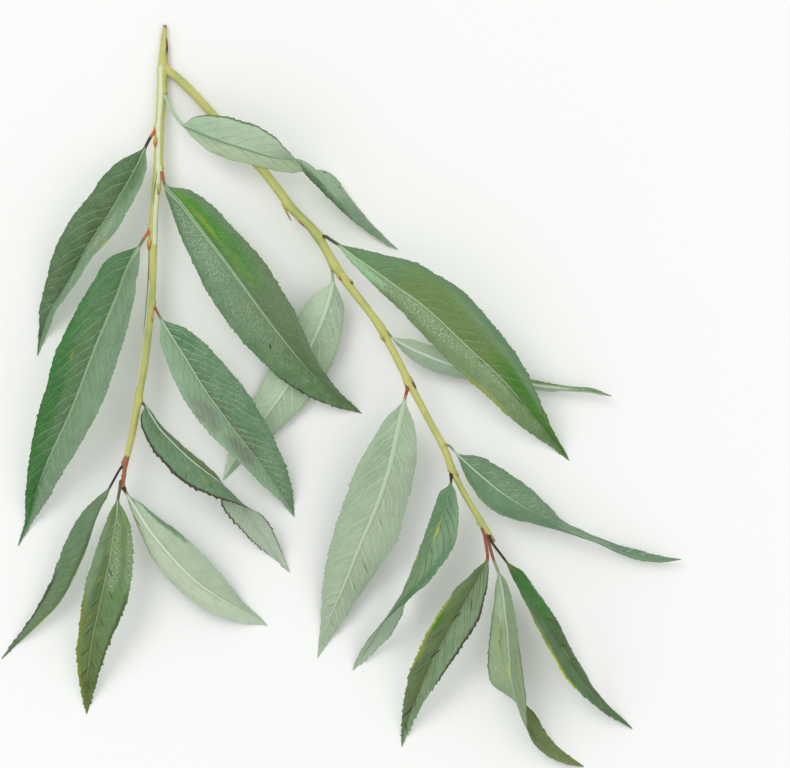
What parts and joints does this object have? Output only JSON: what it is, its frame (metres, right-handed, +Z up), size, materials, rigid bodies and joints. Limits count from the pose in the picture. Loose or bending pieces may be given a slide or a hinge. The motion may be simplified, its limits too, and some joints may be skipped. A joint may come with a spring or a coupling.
{
  "type": "willow branch",
  "caption": "Forked leafy willow branch lying flat as picked: a knobbly olive stem with a side shoot, long narrow finely toothed leaves on short stalks, and small red-brown buds.",
  "frame": {"origin": "middle of the branch's outline, on the surface it lies on", "axes": "+Y along the branch towards the cut end of the stem, +X towards the side shoot's leaves, +Z up from the surface"},
  "size_m": [0.2374, 0.2594, 0.0263],
  "materials": {
    "bark": "smooth young bark, olive yellow with a grey-green bloom, satin",
    "leaf": "upper side of a leaf, mid green with paler veins, satin",
    "leaf_underside": "pale grey-green underside of a leaf, matt",
    "bud": "orange to red-brown bud scale, slightly glossy"
  },
  "bodies": {
    "root": {"main_stem": "bark", "side_shoot": "bark", "main_leaf_1": "leaf", "main_leaf_2": "leaf", "main_leaf_3": "leaf", "main_leaf_4": "leaf", "main_leaf_5": "leaf", "main_leaf_6": "leaf", "main_leaf_7": "leaf", "main_leaf_8": "leaf_underside", "main_leaf_9": "leaf_underside", "side_leaf_1": "leaf", "side_leaf_2": "leaf_underside", "side_leaf_3": "leaf_underside", "side_leaf_4": "leaf_underside", "side_leaf_5": "leaf", "side_leaf_6": "leaf", "side_leaf_7": "leaf", "side_leaf_8": "leaf_underside", "side_leaf_9": "leaf", "fork_spur": "bud", "main_bud_1": "bud", "main_bud_2": "bud", "main_bud_3": "bud", "main_bud_4": "bud", "side_spur": "bud", "side_bud_1": "bud", "side_bud_2": "bud", "side_bud_3": "bud", "side_bud_4": "bud", "side_bud_5": "bud", "side_bud_6": "bud"}
  },
  "joints": []
}
